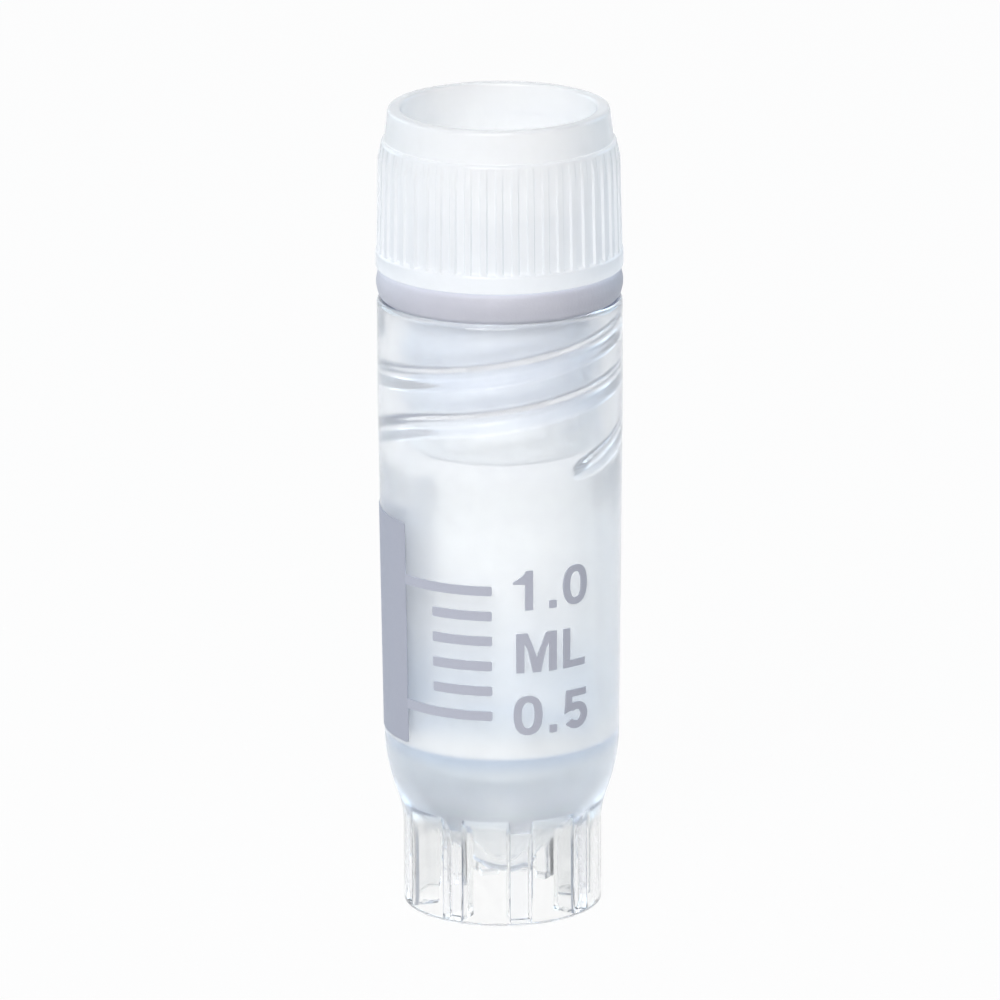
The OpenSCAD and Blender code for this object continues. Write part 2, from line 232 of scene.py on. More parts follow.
def turned(name, r, z, angle, crease=None, poles=True):
    """A surface of revolution on a grid: row i, column j lies at radius r, height z and an angle
    round the axis. With poles, the first and last rows are single points on the axis; without,
    the last row joins the first."""
    rows, columns = np.broadcast_shapes(r.shape, z.shape, angle.shape)
    r, z, a = (np.broadcast_to(v, (rows, columns)) for v in (r, z, np.radians(angle)))
    points = np.stack([r * np.sin(a), -r * np.cos(a), z], axis=-1)
    if not poles:
        points = np.concatenate([points, points[:1]])
        quads = grid_faces(rows + 1, columns) % (rows * columns)
        return build_mesh(name, points[:-1].reshape(-1, 3), quads, np.zeros((0, 3), int), crease)
    body = points[1:-1].reshape(-1, 3)
    ends = np.array([[0, 0, z[0, 0]], [0, 0, z[-1, 0]]])
    quads = grid_faces(rows - 2, columns)
    j = np.arange(columns)
    k = (j + 1) % columns
    last = (rows - 3) * columns
    fans = np.concatenate([
        np.stack([np.full(columns, len(body)), k, j], axis=1),
        np.stack([np.full(columns, len(body) + 1), last + j, last + k], axis=1),
    ])
    return build_mesh(name, np.concatenate([body, ends]), quads, fans, crease)


def smooth(t):
    """Smooth step from 0 to 1."""
    t = np.clip(t, 0, 1)
    return t * t * (3 - 2 * t)


def ridge(angle, z, low, high, first_angle, tail=0):
    """How far a thread stands up at an angle and height, from 0 to 1: a rounded trapezoid round
    each helix that climbs from low to high, fading in and out over its run-out. The first
    stretch of each helix sinks below its line by the tail."""
    outer, inner = RIDGE_ROOT / 2 + ROOT_SPREAD, RIDGE_CREST / 2 - CREST_SHRINK
    share = np.zeros(np.broadcast_shapes(angle.shape, z.shape))
    whole_turn = 360 * (high - low) / LEAD
    for start in range(STARTS):
        a = angle - first_angle - 360 * start / STARTS
        a = a + 360 * np.round(((z - low) * 360 / LEAD - a) / 360)
        sunk = tail * (1 - smooth(a / TAIL_SPAN))
        off = np.abs(z - low + sunk - LEAD * a / 360)
        flank = smooth((outer - off) / (outer - inner))
        fade = smooth(np.minimum(a, whole_turn - a) / RUNOUT)
        share = np.maximum(share, flank * fade)
    return share


# ---------------------------------------------------------------- tube
def tube_outline():
    """Rows of the tube from the tip of its underside round to the tip of its bore.

    Returns the plain outline, the outline through a foot rib, and how far each row's columns
    gather to the ribs. The two outlines part only between the cone and the foot's rim."""
    edge = SKIRT_WALL / 8
    tip_out = TIP_R + FLOOR_WALL
    half = math.degrees(FLOOR_ANGLE)
    tip_z = CONE_TIP_Z + TIP_R / math.sin(FLOOR_ANGLE)

    def under_z(r):
        """Height of the floor's underside at radius r, on its straight flank."""
        return (tip_z - tip_out * math.sin(FLOOR_ANGLE)
                + (r - tip_out * math.cos(FLOOR_ANGLE)) / math.tan(FLOOR_ANGLE))

    rib_r = SKIRT_IN_R - RIB_DEPTH
    flank_r = tip_out * math.cos(FLOOR_ANGLE)
    cone = np.concatenate([
        arc(0, tip_z, tip_out, -90, -half, 14),
        filled(np.array([[flank_r, under_z(flank_r)], [rib_r, under_z(rib_r)]]), 0.25)[1:],
    ])
    # Most points stand where the two outlines turn: the fillet at the skirt and the rib's foot.
    share = np.unique(np.r_[np.linspace(0, 1, 25), np.linspace(0.2, 0.3, 9),
                            np.linspace(0.74, 0.84, 9)])[1:]
    plain = along(rounded([(rib_r, under_z(rib_r), 0), (SKIRT_IN_R, under_z(SKIRT_IN_R), SKIRT_FILLET),
                           (SKIRT_IN_R, RIB_RISE, 0)]), share)
    ribbed = along(rounded([(rib_r, under_z(rib_r), 0), (rib_r, RIB_RISE, 0.04),
                            (SKIRT_IN_R, RIB_RISE, 0)]), share)

    shoulder_turn = math.acos(1 - SKIRT_INSET / (SHOULDER_R + SKIRT_CURVE_R))
    turn = math.degrees(shoulder_turn)
    skirt_top_z = SHOULDER_Z - (SHOULDER_R + SKIRT_CURVE_R) * math.sin(shoulder_turn)
    mouth_z = MOUTH_Z - MOUTH_EDGE
    taper_z = LEDGE_Z - TAPER
    bore_top_z = taper_z - 0.9
    rim = [
        arc(SKIRT_IN_R + edge, edge, edge, 180, 270, 4),
        arc(SKIRT_R - edge, edge, edge, -90, 0, 4),
    ]
    outside = [
        filled(np.array([[SKIRT_R, edge], [SKIRT_R, skirt_top_z]]), 1.0)[1:],
        arc(SKIRT_R + SKIRT_CURVE_R, skirt_top_z, SKIRT_CURVE_R, 180, 180 - turn, 10)[1:],
        arc(FOOT_R - SHOULDER_R, SHOULDER_Z, SHOULDER_R, -turn, 0, 10)[1:],
        filled(np.array([[FOOT_R, SHOULDER_Z], [TUBE_R, TAPER_TOP_Z], [TUBE_R, mouth_z]]), 2.0)[1:],
        arc(TUBE_R - MOUTH_EDGE, mouth_z, MOUTH_EDGE, 0, 90, 5)[1:],
    ]
    inside = [
        arc(NECK_R + MOUTH_EDGE, mouth_z, MOUTH_EDGE, 90, 180, 5),
        filled(rounded([(NECK_R, mouth_z, 0), (NECK_R, LEDGE_Z, 0.45), (BORE_R, taper_z, 0.8),
                        (BORE_R, bore_top_z, 0)], 8), 0.075)[1:],
        filled(np.array([[BORE_R, bore_top_z], [BORE_R, FLOOR_Z]]), 2.0)[1:-1],
        arc(BORE_R - FLOOR_CURVE_R, FLOOR_Z, FLOOR_CURVE_R, 0, -half, 10),
        filled(np.array([[FLOOR_EDGE_R, FLOOR_EDGE_Z],
                         [TIP_R * math.cos(FLOOR_ANGLE), tip_z - TIP_R * math.sin(FLOOR_ANGLE)]]),
               0.5)[1:-1],
        arc(0, tip_z, TIP_R, -half, -90, 10),
    ]
    rest = np.concatenate([*rim, *outside, *inside])
    rim_rows = sum(len(points) for points in rim)
    gather = np.r_[np.ones(len(cone) + len(plain) + rim_rows), np.zeros(len(rest) - rim_rows)]
    return (np.concatenate([cone, plain, rest]), np.concatenate([cone, ribbed, rest]), gather)


def rib_columns():
    """Columns of one eighth of the tube: how far each lies to the side of the rib's middle plane,
    how much of the rib it shows, and its place on the way to the next rib."""
    half = RIB_W / 2
    side = np.array([0, 0.5, 0.8, 0.94, 1.0, 1.03, 1.06, 1.16, 1.36]) * half
    shown = np.array([1, 1, 1, 0.985, 0.94, 0.5, 0.06, 0.015, 0])
    side = np.r_[-side[:0:-1], side]
    shown = np.r_[shown[:0:-1], shown]
    between = np.linspace(0, 1, 22)[1:-1]
    return side, shown, between


def vial_tube():
    """The tube, as one closed surface turned round the axis: its foot ribs are where the inside
    of the skirt steps in, and its thread is where the neck's radius shrinks by the ridge height."""
    plain, ribbed, gather = tube_outline()
    side, shown, between = rib_columns()
    per_rib = len(side) + len(between)
    share = np.tile(np.r_[shown, np.zeros(len(between))], RIBS)[None, :]
    r = plain[:, :1] * (1 - share) + ribbed[:, :1] * share
    z = plain[:, 1:] * (1 - share) + ribbed[:, 1:] * share

    # Angles of the columns where they gather to the ribs, on a grid of rows, ribs and columns.
    # Within 3.2 mm of the axis they keep the angles they have at that radius.
    reach = np.maximum(r, 3.2).reshape(-1, RIBS, per_rib)
    centre = RIB_ANGLE + 360 / RIBS * np.arange(RIBS)[None, :, None]
    at_rib = centre + np.degrees(np.arcsin(side / reach[..., :len(side)]))
    stop = np.degrees(np.arcsin(side[-1] / reach[..., len(side):]))
    to_next = centre + stop + between * (360 / RIBS - 2 * stop)
    columns = RIBS * per_rib
    gathered = np.concatenate([at_rib, to_next], axis=2).reshape(-1, columns)
    even = RIB_ANGLE + 360 * (np.arange(columns) - len(side) // 2) / columns
    angle = gathered * gather[:, None] + even[None, :] * (1 - gather[:, None])

    in_neck = (r < NECK_R + 1e-6) & (z > LEDGE_Z - TAPER)
    thread = ridge(angle, z, THREAD_LOW_Z, THREAD_HIGH_Z, THREAD_ANGLE, TAIL_DROP)
    r = np.where(in_neck, np.minimum(r, NECK_R - RIDGE_H * thread), r)
    return turned("vial_tube", r, z, angle, crease=40)


# ---------------------------------------------------------------- cap
def cap_moulding():
    """The cap, as one closed surface turned round the axis: the plug with its thread, the smooth
    ring, the knurled grip, the collar, the recess and the well inside the plug. A grip rib
    lifts the surface to the rib's crest where the core lies below it."""
    plug = rounded([(0, PLUG_Z, 0), (PLUG_R - PLUG_CHAMFER, PLUG_Z, 0.1),
                    (PLUG_R, PLUG_Z + PLUG_CHAMFER, 0.1), (PLUG_R, FLANGE_Z, 0)])
    ring_z = FLANGE_Z + RING_FOOT_H
    above = rounded([(PLUG_R, FLANGE_Z, 0), (RING_FOOT_R, FLANGE_Z, 0.06),
                     (RING_FOOT_R, ring_z - GRIP_RIB_H, 0.1), (grip_core_r(ring_z), ring_z, 0.1),
                     (GRIP_TOP_R, COLLAR_Z, 0.22), (COLLAR_R, COLLAR_Z, 0.06),
                     (RIM_R, CAP_TOP_Z, 0.2), (RECESS_R, CAP_TOP_Z, 0.2),
                     (RECESS_R, RECESS_Z, 0.25), (WELL_R, RECESS_Z, 0.2),
                     (WELL_R, WELL_Z, 0.4), (0, WELL_Z, 0)], steps=5)
    outline = np.concatenate([filled(plug, 0.17)[:-1], filled(above, 0.8)])
    keep = np.r_[True, np.linalg.norm(np.diff(outline, axis=0), axis=1) > 1e-6]
    r, z = outline[keep, :1], outline[keep, 1:]

    # Columns across one rib's pitch, from its middle on, close together on its two flanks.
    pitch = np.array([0, 0.10, 0.17, 0.21, 0.26, 0.38, 0.62, 0.74, 0.79, 0.83, 0.90])
    angle = (np.arange(GRIP_RIBS)[:, None] + pitch).ravel()[None, :] * 360 / GRIP_RIBS
    off = np.abs((angle + 180 / GRIP_RIBS) % (360 / GRIP_RIBS) - 180 / GRIP_RIBS)
    off = np.radians(off) * GRIP_R     # how far from the rib's middle, round the grip
    bump = smooth((GRIP_RIB_W * 0.64 - off) / (GRIP_RIB_W * 0.28))

    grip_end_z = COLLAR_Z - 0.15 - 2 * GRIP_RIB_H
    on_grip = (z > ring_z - GRIP_RIB_H) & (z < COLLAR_Z - 0.01) & (r > COLLAR_R)
    rise = GRIP_RIB_H * smooth((grip_end_z - z) / GRIP_RIB_H / 2.2)
    lift = np.clip(grip_core_r(z) + rise - r, 0, rise)
    height = np.where(on_grip, lift * bump, 0)

    # The plug's ridges follow the tube's, lower by a drop that brings their flanks together but
    # for the play.
    low = PLUG_Z + PLUG_CHAMFER + RIDGE_ROOT / 2
    high = MOUTH_Z - RIDGE_ROOT / 2
    drop = RIDGE_ROOT - (RIDGE_ROOT - RIDGE_CREST) * CLEARANCE / RIDGE_H + PLAY
    first = THREAD_ANGLE + 360 * (low - THREAD_LOW_Z + drop) / LEAD
    on_plug = (np.abs(r - PLUG_R) < 1e-6) & (z < MOUTH_Z)
    thread = np.where(on_plug, PLUG_RIDGE_H * ridge(angle, z, low, high, first), 0)
    return turned("cap_moulding", r + height + thread, z, angle, crease=40)


# ---------------------------------------------------------------- ring
def sealing_ring():
    """The rubber ring: a rounded rectangle turned round the axis, its outer face slightly crowned."""
    gap, crown = 0.012, 0.2
    outer, inner = ring_high[0], PLUG_R + 0.05
    low, high = ring_low[2] + gap, ring_high[2] - gap
    middle = (low + high) / 2
    outline = rounded([(inner, middle, 0), (inner, low, 0.1), (outer - crown, low, 0.34),
                       (outer, middle, 0.3), (outer - crown, high, 0.34), (inner, high, 0.1),
                       (inner, middle, 0)], steps=7)[:-1]
    angle = np.arange(240)[None, :] * 1.5
    return turned("sealing_ring", outline[:, :1], outline[:, 1:], angle, crease=40, poles=False)


# ---------------------------------------------------------------- print
def ink_film(name, patches):
    """Ink on the barrel, as closed films. Each patch is a grid of distances round the barrel from
    the front and heights. It becomes an outer and an inner skin joined round the grid's edge."""
    points, quads = [], []
    first = 0
    for x, z in patches:
        rows, columns = x.shape
        skins = []
        for lift in (INK_T, -INK_ROOT):
            r = barrel_r(z) + lift
            a = x / barrel_r(np.mean(z))
            skins.append(np.stack([r * np.sin(a), -r * np.cos(a), z], axis=-1).reshape(-1, 3))
        points += skins
        i, j = (v.ravel() for v in np.mgrid[:rows - 1, :columns - 1])
        face = np.stack([i * columns + j, i * columns + j + 1, (i + 1) * columns + j + 1,
                         (i + 1) * columns + j], axis=1)
        n = rows * columns
        rim = np.concatenate([
            np.arange(columns - 1), np.arange(rows - 1) * columns + columns - 1,
            n - 1 - np.arange(columns - 1), (rows - 1 - np.arange(rows - 1)) * columns])
        after = np.roll(rim, -1)
        wall = np.stack([after, rim, rim + n, after + n], axis=1)
        whole = np.concatenate([face, face[:, ::-1] + n, wall])
        block = np.concatenate(skins)
        halves = np.concatenate([whole[:, [0, 1, 2]], whole[:, [0, 2, 3]]])
        if signed_volume(block, halves) < 0:
            whole = whole[:, ::-1]
        quads.append(whole + first)
        first += 2 * n
    no_triangles = np.zeros((0, 3), int)
    return build_mesh(name, np.concatenate(points), np.concatenate(quads), no_triangles, crease=40)


def rounded_rows(left, right, bottom, top, corner, rows, columns):
    """A grid over a rectangle whose rows draw in towards its rounded corners."""
    v = np.linspace(0, 1, rows)[:, None]
    v = (1 - np.cos(np.pi * v)) / 2
    z = bottom + (top - bottom) * v
    near = np.minimum(z - bottom, top - z)
    draw = corner - np.sqrt(np.maximum(0, corner ** 2 - np.maximum(0, corner - near) ** 2))
    u = np.linspace(0, 1, columns)[None, :]
    x = (left + draw) * (1 - u) + (right - draw) * u
    return x, z + 0 * u


def round_the_barrel(degrees, z):
    """Distance round the barrel from the front for an angle, at height z."""
    return math.radians(degrees) * barrel_r(z)


def writing_field():
    """The field that takes writing: one large film with slightly rounded corners."""
    low, high = patch_low[2], patch_high[2]
    middle = (low + high) / 2
    field = rounded_rows(round_the_barrel(PATCH_ANGLE - PATCH_SPAN, middle),
                         round_the_barrel(PATCH_ANGLE, middle), low, high, FIELD_CORNER, 48, 120)
    return ink_film("writing_field", [field])


def scale_marks():
    """Six marks; the lowest and the highest run left, just into the writing field."""
    films = []
    for i, z in enumerate(np.linspace(LOW_MARK_Z, HIGH_MARK_Z, MARKS)):
        if i in (0, MARKS - 1):
            left = round_the_barrel(PATCH_ANGLE, z) - MARK_OVERLAP
        else:
            left = round_the_barrel(MARK_LEFT, z)
        right = round_the_barrel(MARK_RIGHT, z)
        films.append(rounded_rows(left, right, z - MARK_T / 2, z + MARK_T / 2, MARK_CORNER, 12, 50))
    return ink_film("scale_marks", films)


def ruled(edge_a, edge_b, across=5):
    """A grid between two edges given as matching lists of points."""
    a, b = np.array(edge_a, float), np.array(edge_b, float)
    t = np.linspace(0, 1, across)[None, :, None]
    return a[:, None, :] * (1 - t) + b[:, None, :] * t


def figure_0():
    """A ring between two upright rounded outlines."""
    t = np.radians(np.linspace(0, 360, 65))
    w, h, s = FIGURE_W / 2, FIGURE_H / 2, FIGURE_STROKE

    def loop(w, h):
        return np.stack([w * np.sign(np.cos(t)) * np.abs(np.cos(t)) ** 0.86,
                         h * np.sign(np.sin(t)) * np.abs(np.sin(t)) ** 0.86], axis=1)
    return ruled(loop(w, h), loop(w - s, h - s * 0.85))


def figure_1():
    """An upright stem whose left edge swings out to a flag near its top."""
    w, h, s = FIGURE_W / 2, FIGURE_H / 2, FIGURE_STROKE
    right = 1.04 - w
    stem = right - s
    y = h * np.array([-1, -0.2, 0.30, 0.34, 0.42, 0.50, 0.58, 0.70, 0.85, 1])
    left = np.array([stem, stem, stem, -w, -w, -w + 0.08, -w + 0.25, -w + 0.42,
                     stem - 0.02, stem + 0.06])
    return ruled(np.stack([left, y], 1), np.stack([np.full(len(y), right), y], 1))


def figure_5():
    """One stroke that runs along the top bar, down the stem and round the bowl."""
    s = FIGURE_STROKE
    w, h = FIGURE_W / 2, FIGURE_H / 2
    r_out = 0.34 * FIGURE_H
    centre = np.array([w - r_out - 0.02, r_out - h])
    t = np.radians(np.linspace(148, -146, 40))
    squash = np.array([1.06, 1.0])
    bowl_out = centre + squash * r_out * np.stack([np.cos(t), np.sin(t)], 1)
    bowl_in = centre + squash * (r_out - s) * np.stack([np.cos(t), np.sin(t)], 1)
    stem = -w + 0.16
    bowl_z = bowl_out[0, 1]
    outer = [[w - 0.08, h], [stem, h], [stem - 0.09, bowl_z - 0.22]]
    inner = [[w - 0.08, h - s * 0.9], [stem + s * 0.86, h - s * 0.9], [stem + s * 0.9, bowl_z - 0.05]]
    return ruled(np.concatenate([outer, bowl_out[2:]]), np.concatenate([inner, bowl_in[2:]]))


def figure_point():
    """A square with softened corners that stands on the line."""
    s = FIGURE_STROKE
    x, y = rounded_rows(-s / 2, s / 2, -FIGURE_H / 2, s - FIGURE_H / 2, 0.05, 8, 6)
    return np.stack([x, y], axis=-1)


def letter_m():
    """Between an upper and a lower edge: two stems and the dip between them."""
    w, h, s = M_W / 2, FIGURE_H / 2, FIGURE_STROKE
    x = np.array([-w, -w + s, -w + s + 0.001, -w + 1.4 * s, -s / 2, 0, s / 2, w - 1.4 * s,
                  w - s - 0.001, w - s, w])
    dip = 1.85 * s - h
    top = np.array([h, h, h, h, dip + 0.62, dip, dip + 0.62, h, h, h, h])
    notch, slope = h - 1.4 * s, h - 2.05 * s
    bottom = np.array([-h, -h, notch, slope, -h, -h, -h, slope, notch, -h, -h])
    upper = np.stack([x, top], 1)
    return ruled(upper, np.stack([x, bottom], 1))


def letter_l():
    """Between a left and a right edge: a foot bar, then the stem."""
    w, h, s = L_W / 2, FIGURE_H / 2, FIGURE_STROKE
    y = np.array([-h, -h + s * 0.9, -h + s * 0.9 + 0.001, 0, h])
    right = np.array([w, w, -w + s, -w + s, -w + s])
    return ruled(np.stack([np.full(5, -w), y], 1), np.stack([right, y], 1))


def finer(film, step=0.12):
    """The same film with rows added, so that it bends with the barrel."""
    length = np.linalg.norm(np.diff(film, axis=0), axis=2).max(axis=1)
    count = np.maximum(1, np.ceil(length / step).astype(int))
    rows = [film[:1]]
    for p, q, n in zip(film, film[1:], count):
        rows.append(p + (q - p) * (np.arange(1, n + 1) / n)[:, None, None])
    return np.concatenate(rows)


def scale_figures():
    """The two numbers and the unit, each line centred on the figures' middle line."""
    figure, point = (FIGURE_W, figure_0()), (FIGURE_STROKE, figure_point())
    lines = {
        HIGH_MARK_Z: [(FIGURE_W, figure_1()), point, figure],
        (LOW_MARK_Z + HIGH_MARK_Z) / 2: [(M_W, letter_m()), (L_W, letter_l())],
        LOW_MARK_Z: [figure, point, (FIGURE_W, figure_5())],
    }
    films = []
    for z, line in lines.items():
        whole = sum(w for w, _ in line) + FIGURE_GAP * (len(line) - 1)
        x = FIGURE_OFFSET - whole / 2
        for w, shape in line:
            film = finer(shape)
            films.append((film[..., 0] + x + w / 2, film[..., 1] + z))
            x += w + FIGURE_GAP
    return ink_film("scale_figures", films)


# ---------------------------------------------------------------- materials
class Nodes:
    """Short calls for building one material's node tree."""

    def __init__(self, name):
        self.material = bpy.data.materials.new(name)
        self.material.use_nodes = True
        self.tree = self.material.node_tree
        self.tree.nodes.clear()
        self.output = self.add("ShaderNodeOutputMaterial")

    def add(self, kind, inputs=None, **settings):
        node = self.tree.nodes.new(kind)
        for key, value in settings.items():
            setattr(node, key, value)
        for key, value in (inputs or {}).items():
            if isinstance(value, bpy.types.NodeSocket):
                self.tree.links.new(value, node.inputs[key])
            else:
                node.inputs[key].default_value = value
        return node

    def math(self, operation, a, b=0.0, clamp=False):
        node = self.add("ShaderNodeMath", {0: a, 1: b}, operation=operation, use_clamp=clamp)
        return node.outputs[0]

    def span(self, value, from_low, from_high, to_low, to_high, kind="SMOOTHSTEP"):
        """Value's stretch from_low to from_high mapped on to_low to to_high."""
        node = self.add("ShaderNodeMapRange", {
            "Value": value, "From Min": from_low, "From Max": from_high,
            "To Min": to_low, "To Max": to_high}, interpolation_type=kind)
        return node.outputs[0]

    def noise(self, vector, scale, detail=3.0, roughness=0.5):
        node = self.add("ShaderNodeTexNoise", {
            "Vector": vector, "Scale": scale, "Detail": detail, "Roughness": roughness})
        return node.outputs["Fac"]

    def mix(self, share, a, b):
        node = self.add("ShaderNodeMix", data_type="RGBA")
        for socket, value in ((node.inputs[0], share), (node.inputs[6], a), (node.inputs[7], b)):
            if isinstance(value, bpy.types.NodeSocket):
                self.tree.links.new(value, socket)
            else:
                socket.default_value = value
        return node.outputs[2]


def colour(r, g, b):
    """A colour as it shows on a screen, each part from 0 to 255, as linear values for nodes."""
    c = np.array([r, g, b]) / 255
    linear = np.where(c <= 0.04045, c / 12.92, ((c + 0.055) / 1.055) ** 2.4)
    return (*linear.tolist(), 1.0)


def own_place(n):
    """The object's own coordinates, in metres."""
    return n.add("ShaderNodeTexCoord").outputs["Object"]


def height_and_radius(n, where):
    """A place's height and its distance from the axis."""
    part = n.add("ShaderNodeSeparateXYZ", {0: where})
    squares = n.math("ADD", n.math("POWER", part.outputs[0], 2), n.math("POWER", part.outputs[1], 2))
    return part.outputs[2], n.math("SQRT", squares)


def clear_plastic(name, tint, clarity, roughness, haze, absorb, density, grain):
    """Moulded polypropylene: a Principled surface that lets light through, a haze that passes
    light on in all directions, faint flow waves and a fine grain in its bump, and a clear body
    that takes up a little red light with depth. Lamps reach what lies behind it. tint, clarity,
    roughness and haze are functions of the nodes, the height, the distance from the axis and a
    cloudy noise."""
    n = Nodes(name)
    where = own_place(n)
    z, r = height_and_radius(n, where)
    cloud = n.span(n.noise(where, 900.0, 4.0), 0.3, 0.7, 0, 1)
    flow = n.add("ShaderNodeMapping", {"Vector": where, "Scale": (1, 1, 0.35)})
    wave = n.noise(flow.outputs[0], 650.0, 2.0)
    fine = n.noise(where, 2600.0, 2.0)
    height = n.math("ADD", n.math("MULTIPLY", wave, 0.6), n.math("MULTIPLY", fine, grain))
    bump = n.add("ShaderNodeBump", {"Strength": 1.0, "Distance": 0.00002, "Height": height})
    base = tint(n, z, r, cloud)
    speckle = n.span(fine, 0.3, 0.7, -0.005, 0.01)
    gloss = n.add("ShaderNodeBsdfPrincipled", {
        "Base Color": base, "IOR": 1.49,
        "Roughness": n.math("ADD", roughness(n, z, r, cloud), speckle),
        "Transmission Weight": clarity(n, z, r, cloud), "Normal": bump.outputs[0]})
    glow = n.add("ShaderNodeBsdfTranslucent", {"Color": base, "Normal": bump.outputs[0]})
    surface = n.add("ShaderNodeMixShader", {
        0: haze(n, z, r, cloud), 1: gloss.outputs[0], 2: glow.outputs[0]})
    gap = n.add("ShaderNodeBsdfTransparent", {"Color": (0.93, 0.95, 0.97, 1)})
    shadow = n.math("MULTIPLY", n.add("ShaderNodeLightPath").outputs["Is Shadow Ray"], 0.9)
    skin = n.add("ShaderNodeMixShader", {0: shadow, 1: surface.outputs[0], 2: gap.outputs[0]})
    n.tree.links.new(skin.outputs[0], n.output.inputs["Surface"])
    depth = n.add("ShaderNodeVolumeAbsorption", {"Color": colour(*absorb), "Density": density})
    n.tree.links.new(depth.outputs[0], n.output.inputs["Volume"])
    return n.material


def zones(n, z, heights, values):
    """A value that changes with height: each of the values holds between its neighbours' heights,
    given as pairs where one value ends and the next is reached."""
    level = values[0]
    for (start, stop), before, after in zip(heights, values, values[1:]):
        level = n.math("ADD", level, n.span(z, start * MM, stop * MM, 0, after - before))
    return level


def tube_plastic():
    """Clear on the outside, and milky in the bore down to a hazy bowl with a blue-grey band of
    painted shade round its rim. Both are clearest in the foot, where grey lines of painted shade
    run along the corners of the ribs."""
    foot_fade, bowl_top, neck_fade = (3.4, 5.8), (8.85, 9.2), (22.6, 25.0)
    outer_heights = (foot_fade, (8.8, 10.4), neck_fade)
    inner_heights = (foot_fade, bowl_top, neck_fade)

    def is_outside(n, z, r):
        """1 on the outside, in the foot and under the floor, 0 in the bore."""
        outside = n.span(r, TUBE_R * MM * 0.88, TUBE_R * MM * 0.90, 0, 1)
        tip = n.span(z, 1.8 * MM, 2.2 * MM, 1, 0)
        over_cone = n.math("SUBTRACT", z, n.math("MULTIPLY", r, 1 / math.tan(FLOOR_ANGLE)))
        underside = n.span(over_cone, (CONE_TIP_Z - 1.1) * MM, (CONE_TIP_Z - 0.5) * MM, 1, 0)
        return n.math("MAXIMUM", n.math("MAXIMUM", outside, tip), underside)

    def rib_corner_shade(n, z, r):
        """1 in the corners where the foot's ribs meet the skirt and shade is painted, 0 elsewhere."""
        edge = n.span(r, (SKIRT_IN_R - 0.23) * MM, (SKIRT_IN_R - 0.16) * MM, 0, 1)
        root = n.span(r, (SKIRT_IN_R - 0.10) * MM, (SKIRT_IN_R - 0.04) * MM, 1, 0)
        return n.math("MULTIPLY", n.math("MULTIPLY", edge, root), zones(n, z, ((3.4, 5.2),), (1, 0)))

    def surfaces(n, z, r, outer, inner):
        """One run of values up the outside and another up the bore."""
        outside = is_outside(n, z, r)
        bore = n.math("SUBTRACT", 1, outside)
        return n.math("ADD", n.math("MULTIPLY", zones(n, z, inner_heights, inner), bore),
                      n.math("MULTIPLY", zones(n, z, outer_heights, outer), outside))

    def tint(n, z, r, cloud):
        """Painted shade: a blue-grey band round the bowl's rim in the bore, a fainter bluish one above
        it, and grey lines in the ribs' corners.
        """
        body = n.mix(cloud, colour(250, 250, 249), colour(252, 252, 251))
        bore = n.math("SUBTRACT", 1, is_outside(n, z, r))
        # Painted shade in the bore: a blue-grey band round the bowl's rim, then a fainter bluish band
        # above it.
        rim = n.math("MULTIPLY", zones(n, z, ((8.0, 9.0), (8.95, 9.2)), (0, 1, 0)), bore)
        low = n.math("MULTIPLY", zones(n, z, ((9.4, 10.8), (12.0, 16.0)), (0, 1, 0)), bore)
        body = n.mix(rim, body, colour(222, 230, 242))
        body = n.mix(low, body, colour(238, 244, 250))
        # Painted shade: grey lines along the corners where the foot's ribs meet the skirt.
        body = n.mix(rib_corner_shade(n, z, r), body, colour(142, 150, 167))
        return n.mix(zones(n, z, (neck_fade,), (0, 1)), body, colour(250, 250, 250))

    def clarity(n, z, r, cloud):
        level = surfaces(n, z, r, (0.965, 0.95, 0.88, 0.91), (0.95, 0.90, 0.58, 0.64))
        return n.math("ADD", level, n.math("MULTIPLY", cloud, 0.03))

    def roughness(n, z, r, cloud):
        return surfaces(n, z, r, (0.05, 0.22, 0.10, 0.07), (0.10, 0.25, 0.25, 0.13))

    def haze(n, z, r, cloud):
        """In the bore's bowl, and in the corners of the foot's ribs."""
        level = zones(n, z, ((4.0, 8.2), bowl_top), (0.08, 0.66, 0))
        bore = n.math("MULTIPLY", level, n.math("SUBTRACT", 1, is_outside(n, z, r)))
        return n.math("ADD", bore, n.math("MULTIPLY", rib_corner_shade(n, z, r), 0.4))
    return clear_plastic("tube_plastic", tint, clarity, roughness, haze,
                         absorb=(176, 195, 236), density=30.0, grain=0.05)


def cap_plastic():
    """Half clear in the plug, milky in the grip and clearer again towards the rim."""
    flange = (32.6, 33.8)

    def tint(n, z, r, cloud):
        grip = n.mix(cloud, colour(243, 242, 242), colour(247, 246, 245))
        # Painted light: the smooth ring below the grip is lighter, near white.
        ring = n.mix(zones(n, z, ((34.6, 35.4),), (1, 0)), grip, colour(252, 251, 250))
        # Painted shade: the plug is blue-grey over the neck's height, so the neck looks darker through
        # the tube's wall.
        plug = n.mix(zones(n, z, ((24.5, 28.5), (33.0, 34.0)), (0, 1, 0)), ring, colour(228, 233, 241))
        # Painted light: a warm near-white at the plug's end offsets the blue cast there.
        return n.mix(zones(n, z, ((25.5, 27.5),), (1, 0)), plug, colour(249, 248, 245))

    def clarity(n, z, r, cloud):
        level = zones(n, z, (flange, (35.2, 40.0)), (0.62, 0.14, 0.46))
        return n.math("ADD", level, n.math("MULTIPLY", cloud, 0.04))

    def roughness(n, z, r, cloud):
        return zones(n, z, (flange,), (0.25, 0.20))

    def haze(n, z, r, cloud):
        """Above the flange only."""
        return zones(n, z, (flange, (34.5, 40.0)), (0, 0.33, 0.11))
    return clear_plastic("cap_plastic", tint, clarity, roughness, haze,
                         absorb=(212, 224, 238), density=25.0, grain=0.08)


